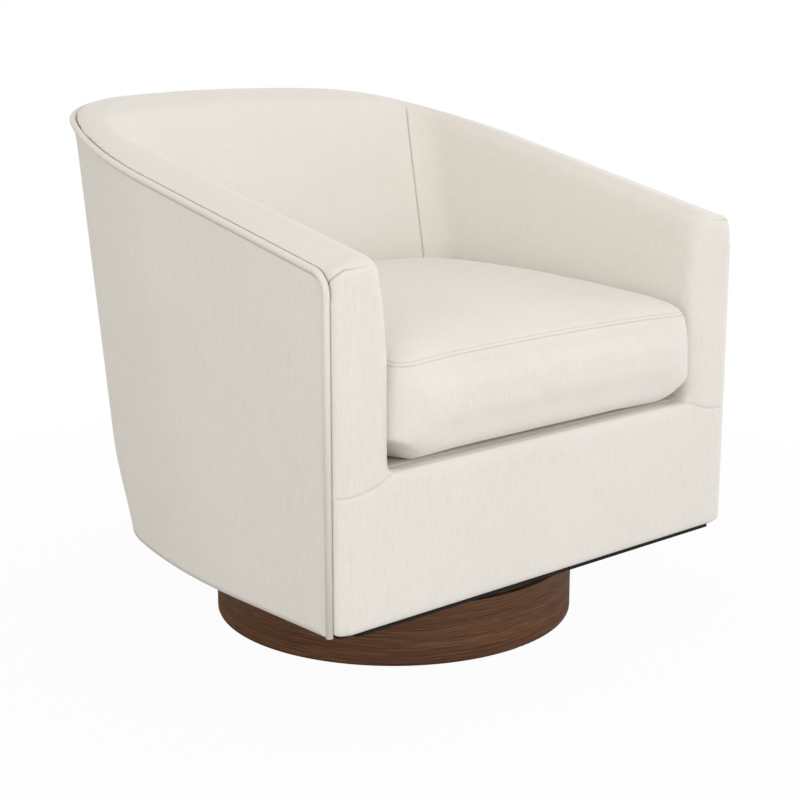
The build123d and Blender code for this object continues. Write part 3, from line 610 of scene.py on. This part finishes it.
print("upholstery tools ready")

# %% [markdown]
# ## The padded tub
#
# Inside back, inside arms, roll, arm fronts and lower front read as one soft surface with fine seams across
# it. Four pads made one by one would each round off at their ends and leave gaps between them. So the four
# are remeshed together, which hides their joints, and the seams are pressed in where the cloth is really
# sewn. Then the surface is cut along the seams into its four pieces again, because each is a piece of its
# own on the real chair.

# %% Remesh the tub
TUB_VOXEL = 0.0052
TUB_ROUNDS = 6              # rounds of smoothing
CREST_AT_AXIS = 0.6556
CREST_SLOPE = 0.2175
ROLL_DEPTH = 0.045          # the roll is soft this far down from its crest
ROLL_DROP = 0.0150          # from the crest down to the welt's upper side
ROLL_REACH = 0.050          # the roll curves down over this width next to the welt
ROLL_LIFT = 0.0022          # softening lowers the crest by this much


def below_crest(point):
    return CREST_AT_AXIS + CREST_SLOPE * point.y - point.z


tub = new_piece("tub", merged_copy("left_arm_pad", "back_pad", "right_arm_pad", "front_panel"))
remesh(tub, TUB_VOXEL)
bm = open_mesh(tub)
soften(bm, bm.verts, TUB_ROUNDS)
print("tub:", len(bm.faces), "faces")

# %% Round the roll towards the welt
WELT_RADIUS = 0.0046
WELT_AT_AXIS = 0.6381       # the welt's height over the swivel axis
WELT_SLOPE = 0.2175
ROLL_ROUNDS = (14, 3)       # rounds of smoothing before and after the roll is shaped
FACING_UP = (0.05, 0.4)     # the skin's tilt over which it counts as the roll's top
FRONT_FADE = (-0.285, -0.215)       # ahead of this the roll is only lowered
WELT_FADE = (0.03, 0.3)

welt_tree = tree_of("piping")


def roll_height(point):
    """The height of the roll's skin, which curves down to the welt like a quarter of an ellipse."""
    beside = Vector((point.x, point.y, WELT_AT_AXIS + WELT_SLOPE * point.y))
    share = max(1 - welt_tree.find_nearest(beside)[3] / ROLL_REACH, 0)
    return CREST_AT_AXIS + CREST_SLOPE * point.y - ROLL_DROP * (1 - math.sqrt(1 - share * share)), share


roll = [vert for vert in bm.verts if below_crest(vert.co) < ROLL_DEPTH]
soften(bm, roll, ROLL_ROUNDS[0])
bm.normal_update()
for vert in roll:
    high, share = roll_height(vert.co)
    facing_up = step_up(vert.normal.z, *FACING_UP)
    behind_front = step_up(vert.co.y, *FRONT_FADE)
    near = step_up(share, *WELT_FADE) * facing_up
    lift = ROLL_LIFT * step_up(ROLL_DEPTH - below_crest(vert.co), 0, ROLL_DEPTH)
    change = high - vert.co.z
    if change > 0:
        change *= behind_front
    vert.co.z += lift * (1 - near) + change * near
soften(bm, roll, ROLL_ROUNDS[1])
print("roll:", len(roll), "vertices")

# %% Lift the panel's top edge to the cushion
SEAT_HALF = 0.283           # half the width between the arms
FRONT_LIFT = 0.0040         # the cushion's front edge rides this much higher than its middle
LIFT_FROM, LIFT_TO = 0.22, 0.315
PANEL_BACK = -0.297
LIP_FROM = -0.309           # behind this line the panel's top edge
LIP_REACH = 0.035           # is drawn back over the deck
LIP_RISE = 0.0012
EDGE_BEHIND = -0.29         # the band of skin along the panel's top edge
EDGE_BAND = (0.295, 0.325)
EDGE_TOP = (0.3, 0.32)
LIP_TOP = (0.312, 0.319)
ARM_FADE = 0.02
EDGE_ROUNDS = 10


def front_lift(point):
    """How much deck, panel and cushion rise towards the front edge."""
    return FRONT_LIFT * step_up(-point.y, LIFT_FROM, LIFT_TO)


def on_edge(point):
    between_arms = abs(point.x) < SEAT_HALF
    return between_arms and point.y < EDGE_BEHIND and EDGE_BAND[0] < point.z < EDGE_BAND[1]


edge = [vert for vert in bm.verts if on_edge(vert.co)]
for vert in edge:
    between_arms = step_up(SEAT_HALF - abs(vert.co.x), 0.0, ARM_FADE)
    vert.co.z += front_lift(vert.co) * step_up(vert.co.z, *EDGE_TOP) * between_arms
soften(bm, edge, EDGE_ROUNDS)
for vert in edge:
    behind = min(max((vert.co.y - LIP_FROM) / (PANEL_BACK - LIP_FROM), 0), 1)
    vert.co.y += LIP_REACH * behind * step_up(vert.co.z, *LIP_TOP)
    vert.co.z += LIP_RISE * behind * step_up(vert.co.z, *LIP_TOP)
print("panel edge:", len(edge), "vertices")

# %% Press the tub's seams
CORNER_SEAM_AT = (0.262, 0.233, 0)
CORNER_SEAM_NORMAL = (0.109, -0.040, 0)
MITRE = (                   # over the arm's front corner, from the welt inwards
    (0.372, -0.3035, 0.562),
    (0.354, -0.318, 0.580),
    (0.326, -0.3215, 0.5815),
    (0.294, -0.312, 0.579),
)
FOOT_SEAM = (               # under the arm's front: distance from the middle, and height
    (0.3755, 0.304),
    (0.358, 0.304),
    (0.335, 0.305),
    (0.315, 0.309),
    (0.298, 0.315),
    (0.285, 0.3215),
    (0.279, 0.335),
)
FRONT_FACE = -0.323
# Each darkness below is the thread's colour plus painted shade in the seam's groove.
WELT_PRESS = (0.0006, 0.0026, 0.6)      # depth, width and darkness of each kind of seam
CORNER_PRESS = (0.0016, 0.0019, 0.5)
MITRE_PRESS = (0.0014, 0.0018, 0.6)
FOOT_PRESS = (0.0011, 0.0024, 0.16)
MITRE_FADE = (0.318, 0.362)
MITRE_LEAST = 0.1


def inside_corner(point):
    """1 on the inner side of a rear corner, fading out on the roll."""
    return step_up(below_crest(point), 0.002, 0.014) if abs(point.x) > 0.2 and point.y > 0.18 else 0


def from_welt(point):
    """The distance from the welt's surface."""
    return welt_tree.find_nearest(point)[3]


def near_welt(point):
    """1 on the outer parts of the tub, where the welt runs."""
    return 1 if abs(point.x) > 0.34 or point.y > 0.3 else 0


def fades_inwards(point):
    """The mitre seam is plain beside the welt and melts into the cloth further in."""
    return MITRE_LEAST + (1 - MITRE_LEAST) * step_up(abs(point.x), *MITRE_FADE)


skin = BVHTree.FromBMesh(bm)
seams = [(from_welt, *WELT_PRESS, near_welt)]
for flip in (tuple, mirrored):
    corner = plane_distance(flip(CORNER_SEAM_AT), flip(CORNER_SEAM_NORMAL))
    mitre = line_distance(skin, [flip(point) for point in MITRE])
    foot = line_distance(skin, [flip((across, FRONT_FACE, high)) for across, high in FOOT_SEAM[:-1]])
    seams += [
        (corner, *CORNER_PRESS, inside_corner),
        (mitre, *MITRE_PRESS, fades_inwards),
        (foot, *FOOT_PRESS, everywhere),
    ]
press_seams(bm, seams)
close_mesh(tub, bm)
print("tub with seams:", len(tub.data.polygons), "faces")


# %% Cut the tub into arms, back and front
PANEL_BACK_CUT = 0.2985     # the cut's height at the back of the front panel


def cut_and_close(bm, point, normal):
    """Cuts away what lies behind a plane, and closes the cut with flat faces."""
    cut = bmesh.ops.bisect_plane(
        bm, geom=bm.verts[:] + bm.edges[:] + bm.faces[:], plane_co=point, plane_no=normal, clear_inner=True
    )
    rim = [item for item in cut["geom_cut"] if isinstance(item, bmesh.types.BMEdge)]
    filled = bmesh.ops.triangle_fill(bm, edges=rim, use_beauty=True)["geom"]
    filled += bmesh.ops.holes_fill(bm, edges=[edge for edge in bm.edges if edge.is_boundary])["faces"]
    bmesh.ops.recalc_face_normals(bm, faces=bm.faces)
    return {item for item in filled if isinstance(item, bmesh.types.BMFace)}


def finish_piece(name, bm, caps=()):
    """Makes the piece, smooth but for the flat faces of its cuts."""
    for face in bm.faces:
        face.smooth = face not in caps
    piece = new_piece(name, bm)
    piece.data.materials.append(shell_cloth)
    return piece


def foot_height(point):
    """The height of the cut under the arms, which drops away behind the front panel."""
    across = abs(point.x)
    front = FOOT_SEAM[-1][1]
    for (outer, high), (inner, low) in zip(FOOT_SEAM, FOOT_SEAM[1:]):
        if across >= inner:
            front = high + (low - high) * min((outer - across) / (outer - inner), 1)
            break
    ahead = (PANEL_BACK - point.y) / (PANEL_BACK - FRONT_FACE)
    return PANEL_BACK_CUT + (front - PANEL_BACK_CUT) * ahead


def part_of_tub(name, above, planes=()):
    """One piece of the tub, above or below the foot seam, which is straightened, cut, and bent back."""
    bm = open_mesh(tub)
    for vert in bm.verts:
        vert.co.z -= foot_height(vert.co)
    caps = cut_and_close(bm, (0, 0, 0), (0, 0, 1 if above else -1))
    for vert in bm.verts:
        vert.co.z += foot_height(vert.co)
    for point, normal in planes:
        caps |= cut_and_close(bm, point, normal)
    return finish_piece(name, bm, {face for face in caps if face.is_valid})


def backwards(vector):
    return tuple(-part for part in vector)


right_seam = (CORNER_SEAM_AT, CORNER_SEAM_NORMAL)
left_seam = (mirrored(CORNER_SEAM_AT), mirrored(CORNER_SEAM_NORMAL))
both_seams = [(at, backwards(normal)) for at, normal in (right_seam, left_seam)]
tub_pieces = {
    "right_arm_pad": part_of_tub("right_arm_cloth", True, [right_seam]),
    "left_arm_pad": part_of_tub("left_arm_cloth", True, [left_seam]),
    "back_pad": part_of_tub("inside_back_cloth", True, both_seams),
    "front_panel": part_of_tub("front_panel_cloth", False),
}
bpy.data.objects.remove(tub)
for node, piece in tub_pieces.items():
    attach(piece, "seat")
    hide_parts(node)
    print(piece.name, len(piece.data.polygons), "faces")

# %% [markdown]
# ## The deck under the cushion
#
# The deck is a thin pad of felt in a lining cloth, which shows only when the cushion is lifted out. It could
# stay a plain slab, but its sharp edges would catch the light. So it is remeshed and softened like the other
# pads, lies flat, and rises a little towards the front edge, where it meets the panel.

# %% Deck
DECK_VOXEL = 0.0055
DECK_TOP = (0.31, 0.32)
DECK_ROUNDS = 3

deck = new_piece("deck_cloth", merged_copy("deck_pad"))
remesh(deck, DECK_VOXEL)
bm = open_mesh(deck)
for vert in bm.verts:
    vert.co.z += front_lift(vert.co) * step_up(vert.co.z, *DECK_TOP)
soften(bm, bm.verts, DECK_ROUNDS)
close_mesh(deck, bm)
deck.data.materials.append(lining)
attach(deck, "seat")
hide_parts("deck_pad")
print(deck.name, len(deck.data.polygons), "faces")

# %% [markdown]
# ## The outside panels
#
# Outside, the cloth is pulled tight from the welt down to the base. A remesh would leave small steps on such
# a smooth slope, which show in a low light. So a grid is bent round the barrel: each column looks inwards
# for the shell's surface, and stops where it meets the welt above.

# %% Bend a grid round the barrel
OUTSIDE_COLUMNS = 280
OUTSIDE_ROWS = 72
END_CROWDING = 0.7          # how much closer the columns stand near the front welts
AXIS = Vector((0, 0.06, 0))
PANEL_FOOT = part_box("outside_back_panel")[0].z + 0.0005
PANEL_THICKNESS = 0.0045
WELT_CORNER = 0.028         # the welt turns down round this radius at the front
WELT_CORNER_AT = (-0.277, 0.5492)
WELT_TUCK = 0.0022          # the cloth goes this far under the welt
CUT_BAND = 0.003            # just below the welt the solids are cut away
CORNER_BAND = 0.012         # and this much at the front corners
FRONT_EDGE = (0.374, WELT_CORNER_AT[0] - WELT_CORNER + WELT_RADIUS - WELT_TUCK)
FRONT_CORNER_TOP = WELT_CORNER_AT[1] + WELT_CORNER

outside_tree = tree_of("outside_left_panel", "outside_back_panel", "outside_right_panel")
front_angle = math.atan2(FRONT_EDGE[1] - AXIS.y, FRONT_EDGE[0])


def surface_at(angle, height, limit=1.0):
    """The shell's outer surface, seen from outside, and drawn on in a straight line above the limit."""
    out = Vector((math.cos(angle), math.sin(angle), 0))

    def seen(level):
        return outside_tree.ray_cast(Vector((AXIS.x, AXIS.y, level)) + out, -out)[0]

    if height <= limit:
        return seen(height)
    edge = seen(limit)
    lean = (edge - seen(limit - WELT_RADIUS)) / WELT_RADIUS
    return edge + lean * (height - limit)


def top_of(angle):
    """The height at which a column runs under the welt."""
    height = 0.5
    for _ in range(3):
        along = surface_at(angle, height, height - CUT_BAND).y
        height = WELT_AT_AXIS + WELT_SLOPE * along - WELT_RADIUS + WELT_TUCK
        reach = WELT_CORNER - WELT_RADIUS + WELT_TUCK
        into_corner = min(WELT_CORNER_AT[0] - along, reach)
        if into_corner > 0:
            height = min(height, WELT_CORNER_AT[1] + math.sqrt(reach**2 - into_corner**2))
    return height


bm = bmesh.new()
bmesh.ops.create_grid(bm, x_segments=OUTSIDE_COLUMNS, y_segments=OUTSIDE_ROWS, size=1)
tops = {}
for vert in bm.verts:
    across, up = (vert.co.x + 1) / 2, (vert.co.y + 1) / 2
    across -= END_CROWDING * math.sin(2 * math.pi * across) / (2 * math.pi)
    angle = front_angle + across * (math.pi - 2 * front_angle)
    if across not in tops:
        tops[across] = top_of(angle)
    top = tops[across]
    band = CORNER_BAND if top < FRONT_CORNER_TOP else CUT_BAND
    vert.co = surface_at(angle, PANEL_FOOT + up * (top - PANEL_FOOT), top - band)
print("outside grid:", len(bm.faces), "faces")

# %% Round the kink near the base and press the outside seams
KINK_ROUNDS = 30
# Each darkness here is the thread's colour plus painted shade in the seam's groove.
OUTER_WELT_PRESS = (0.0005, 0.0026, 0.6)
OUTER_CORNER_PRESS = (0.0014, 0.0018, 0.4)


def at_rear_sides(point):
    """1 round the rear half, where the two corner seams run."""
    return 1 if abs(point.x) > 0.1 and point.y > 0.1 else 0


soften(bm, [vert for vert in bm.verts if not vert.is_boundary], KINK_ROUNDS)
bmesh.ops.recalc_face_normals(bm, faces=bm.faces)
outside = new_piece("outside", bm)
bm = open_mesh(outside)
seams = [(from_welt, *OUTER_WELT_PRESS, everywhere)]
for flip in (tuple, mirrored):
    corner = plane_distance(flip(CORNER_SEAM_AT), flip(CORNER_SEAM_NORMAL))
    seams.append((corner, *OUTER_CORNER_PRESS, at_rear_sides))
press_seams(bm, seams)
close_mesh(outside, bm)
print("outside with seams:", len(outside.data.polygons), "faces")


# %% Cut the outside into its three panels
def cut_sheet(name, planes):
    """A copy of the outside cloth between planes, given its thickness."""
    bm = open_mesh(outside)
    for point, normal in planes:
        whole = bm.verts[:] + bm.edges[:] + bm.faces[:]
        bmesh.ops.bisect_plane(bm, geom=whole, plane_co=point, plane_no=normal, clear_inner=True)
    piece = new_piece(name, bm)
    wall = piece.modifiers.new("wall", "SOLIDIFY")
    wall.thickness = PANEL_THICKNESS
    wall.offset = -1
    apply_modifiers(piece)
    piece.data.materials.append(shell_cloth)
    for polygon in piece.data.polygons:
        polygon.use_smooth = True
    return piece


outside_pieces = {
    "outside_right_panel": cut_sheet("outside_right_cloth", [right_seam]),
    "outside_left_panel": cut_sheet("outside_left_cloth", [left_seam]),
    "outside_back_panel": cut_sheet("outside_back_cloth", both_seams),
}
bpy.data.objects.remove(outside)
for node, piece in outside_pieces.items():
    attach(piece, "seat")
    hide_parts(node)
    print(piece.name, len(piece.data.polygons), "faces")

# %% [markdown]
# ## The welt
#
# A cord wrapped in a strip of the same cloth runs up the front corners and round the top. A bevelled curve
# would do, but its line would have to be drawn again. Its solid already is the right tube, so a copy of it
# is merged, smoothed over and dressed in the cloth.

# %% Welt
welt = new_piece("welt_cloth", merged_copy("piping"))
welt.data.materials.append(shell_cloth)
for polygon in welt.data.polygons:
    polygon.use_smooth = True
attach(welt, "seat")
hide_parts("piping")
print(welt.name, len(welt.data.polygons), "faces")

# %% [markdown]
# ## The seat cushion
#
# The cushion is a foam block in a boxed cover, crowned on top and slightly drawn in at its seams. A box with
# a subdivision modifier comes out evenly round, while real cloth pulls flat in the middle and tight at the
# corners. So the piece starts from the foam's solid, which is a little smaller, and a cloth simulation with
# pressure swells it to size. Two seams are pressed in under the top's edge, as close as a felled seam is.
# Last it settles: the top domes, the front corners fill, and the lower front edge lifts.

# %% Swell the cushion
CUSHION_VOXEL = 0.0055
CUSHION_SWELL = 0.0042
CUSHION_FRAMES = 20
CUSHION_PRESSURE = 4.0
CUSHION_STRETCH = 40        # how firmly the cloth holds its length
CUSHION_BENDING = 12
CUSHION_ROUNDS = (2, 8)     # rounds of smoothing before and after the swell


def swell(piece, pressure, frames, limit):
    """Runs Cloth with pressure and no gravity, then caps how far each vertex has moved."""
    rest = [vert.co.copy() for vert in piece.data.vertices]
    cloth = piece.modifiers.new("cloth", "CLOTH")
    cloth.settings.use_pressure = True
    cloth.settings.uniform_pressure_force = pressure
    cloth.settings.effector_weights.gravity = 0
    cloth.settings.tension_stiffness = CUSHION_STRETCH
    cloth.settings.compression_stiffness = CUSHION_STRETCH
    cloth.settings.bending_stiffness = CUSHION_BENDING
    cloth.point_cache.frame_start = 1
    cloth.point_cache.frame_end = frames
    for step in range(1, frames + 1):
        bpy.context.scene.frame_set(step)
    apply_modifiers(piece)
    bpy.context.scene.frame_set(1)
    for vert, start in zip(piece.data.vertices, rest):
        move = vert.co - start
        if move.length > limit:
            vert.co = start + move * (limit / move.length)


cushion = new_piece("cushion_cloth", merged_copy("cushion_foam"))
remesh(cushion, CUSHION_VOXEL)
bm = open_mesh(cushion)
soften(bm, bm.verts, CUSHION_ROUNDS[0])
close_mesh(cushion, bm)
swell(cushion, CUSHION_PRESSURE, CUSHION_FRAMES, CUSHION_SWELL)
bm = open_mesh(cushion)
soften(bm, bm.verts, CUSHION_ROUNDS[1])
low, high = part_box("cushion_cover")
for axis in (0, 1):
    first, last = min(vert.co[axis] for vert in bm.verts), max(vert.co[axis] for vert in bm.verts)
    for vert in bm.verts:
        vert.co[axis] = low[axis] + (vert.co[axis] - first) * (high[axis] - low[axis]) / (last - first)
close_mesh(cushion, bm)
print("cushion:", len(cushion.data.polygons), "faces after the swell")

# %% Cushion seams
CUSHION_SEAM_HEIGHT = 0.457
CUSHION_FOOT_SEAM = 0.3315
SEAM_BAND = 0.0045          # between the two rows under the top's edge
RING_DEPTH = 0.0009
RING_WIDTH = 0.0013

bm = open_mesh(cushion)
# Each row's darkness is its thread's colour plus painted shade in the seam.
rings = (                   # height and darkness of each row
    (CUSHION_SEAM_HEIGHT + SEAM_BAND / 2, 0.3),
    (CUSHION_SEAM_HEIGHT - SEAM_BAND / 2, 0.42),
    (CUSHION_FOOT_SEAM, 0.12),
)
seams = [(ring_distance(bm, height), RING_DEPTH, RING_WIDTH, dark, everywhere) for height, dark in rings]
press_seams(bm, seams)
print("cushion with seams:", len(bm.faces), "faces")

# %% Settle the cushion
CUSHION_FLOOR = 0.3206      # the deck it lies on
CUSHION_HALF = (0.28, 0.285)
CUSHION_MIDDLE_Y = -0.045
SIDE_RISE = 0.0108          # the top bows up along the sides
BOW_MIDDLE = -0.03
BOW_HALF = 0.27
DOME_RISE = 0.010           # and more in the middle
RIM_DROP = 0.004
CORNER_PUSH = 0.013         # the front corners stand out
PUSH_ACROSS, PUSH_AHEAD = 0.75, 0.66
CORNER_LIFT = 0.024         # and their lower edge lifts
# Each pair below says where an effect begins and where it is full: first in metres from the middle, then
# as a share of the way from the deck to the seam.
PUSHED_CORNER = (0.17, 0.27)
LIFTED_CORNER = (0.225, 0.28)
BELLY = (-0.05, 0.3)
BELLY_END = (0.75, 1.05)
BELLY_LOSS = 0.3
TOP_PART = (0.6, 1.0)
FOOT_PART = (0.0, 0.38)


def settle(point):
    """Domes the top, fills the front corners and lifts the lower front edge."""
    x, y, z = point
    share = (z - CUSHION_FLOOR) / (CUSHION_SEAM_HEIGHT - CUSHION_FLOOR)
    out_x = 1 - min(abs(x) / CUSHION_HALF[0], 1) ** 2
    out_y = 1 - min(abs(y - CUSHION_MIDDLE_Y) / CUSHION_HALF[1], 1) ** 2
    bow = max(1 - ((y - BOW_MIDDLE) / BOW_HALF) ** 2, 0)
    near_front = step_up(-y, LIFT_FROM, LIFT_TO)
    near_corner = near_front * step_up(abs(x), *PUSHED_CORNER)
    belly = step_up(share, *BELLY) * (1 - BELLY_LOSS * step_up(share, *BELLY_END))
    top = step_up(share, *TOP_PART)
    foot = 1 - step_up(share, *FOOT_PART)
    push = CORNER_PUSH * near_corner * belly
    rise = top * (SIDE_RISE * bow + DOME_RISE * out_x * out_y - RIM_DROP * (1 - out_x))
    rise += foot * (front_lift(point) + CORNER_LIFT * near_front * step_up(abs(x), *LIFTED_CORNER))
    aside = math.copysign(PUSH_ACROSS * push, x)
    return (x + aside, y - PUSH_AHEAD * push, max(z, CUSHION_FLOOR) + rise)


for vert in bm.verts:
    vert.co = settle(vert.co)
close_mesh(cushion, bm)
cushion.data.materials.append(shell_cloth)
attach(cushion, "cushion")
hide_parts("cushion_cover", "cushion_foam")
print(cushion.name, len(cushion.data.polygons), "faces")

# %% [markdown]
# ## Floor and background
#
# The floor is pale and takes the chair's shadow. A floor bright enough to look white would light the chair
# from below, so for the camera alone it glows a little, more so further out. The world works the same way:
# seen straight, in gloss or through glass it is plain white, and for light it is a soft sky.

# %% Floor
FLOOR_REACH = 12.0
GLOW_FROM, GLOW_TO = 0.5, 1.6       # from the axis, where the floor turns to plain white
GLOW_NEAR = 0.96            # how much of the floor is glow by the chair
GLOW_GAIN = 0.04            # and how much more of it further out

bm = bmesh.new()
bmesh.ops.create_grid(bm, x_segments=1, y_segments=1, size=FLOOR_REACH)
floor = new_piece("floor", bm)
floor_finish = Finish("pale_floor")
across, ahead, _ = floor_finish.place()
away = floor_finish.maths("SQRT", across * across + ahead * ahead)
outwards = floor_finish.node(
    "ShaderNodeMapRange",
    {"interpolation_type": "SMOOTHSTEP"},
    {"Value": away, "From Min": GLOW_FROM, "From Max": GLOW_TO, "To Min": 0.0, "To Max": 1.0},
)
floor_finish.end(Base_Color=shade(203, 203, 202), Roughness=0.9, Specular_IOR_Level=0.0)
glow = floor_finish.node("ShaderNodeEmission")
seen = floor_finish.node("ShaderNodeLightPath", output="Is Camera Ray")
share = seen * (GLOW_NEAR + outwards * GLOW_GAIN)
blend = floor_finish.node(
    "ShaderNodeMixShader", inputs={"Fac": share, "Shader": floor_finish.shader, "Shader_001": glow}
)
floor_finish.feed(floor_finish.output.inputs["Surface"], blend)
floor.data.materials.append(floor_finish.material)
print("floor:", 2 * FLOOR_REACH, "m wide")

# %% World
SKY_STRENGTH = 0.775
SKY_COLOUR = (1, 0.972, 0.93, 1)
WHITE = (1, 1, 1, 1)

world = bpy.data.worlds.new("studio")
bpy.context.scene.world = world
bench = NodeBench(world)
direct = bench.node("ShaderNodeLightPath", output="Is Camera Ray")
rays = direct.socket.node.outputs
for kind in ("Is Glossy Ray", "Is Transmission Ray"):
    direct = bench.maths("MAXIMUM", direct, Wire(bench, rays[kind]))
sky = bench.node("ShaderNodeBackground", inputs={"Color": SKY_COLOUR, "Strength": SKY_STRENGTH})
white = bench.node("ShaderNodeBackground", inputs={"Color": WHITE, "Strength": 1.0})
surface = bench.node("ShaderNodeMixShader", inputs={"Fac": direct, "Shader": sky, "Shader_001": white})
bench.node("ShaderNodeOutputWorld", inputs={"Surface": surface})
print("sky strength:", SKY_STRENGTH)
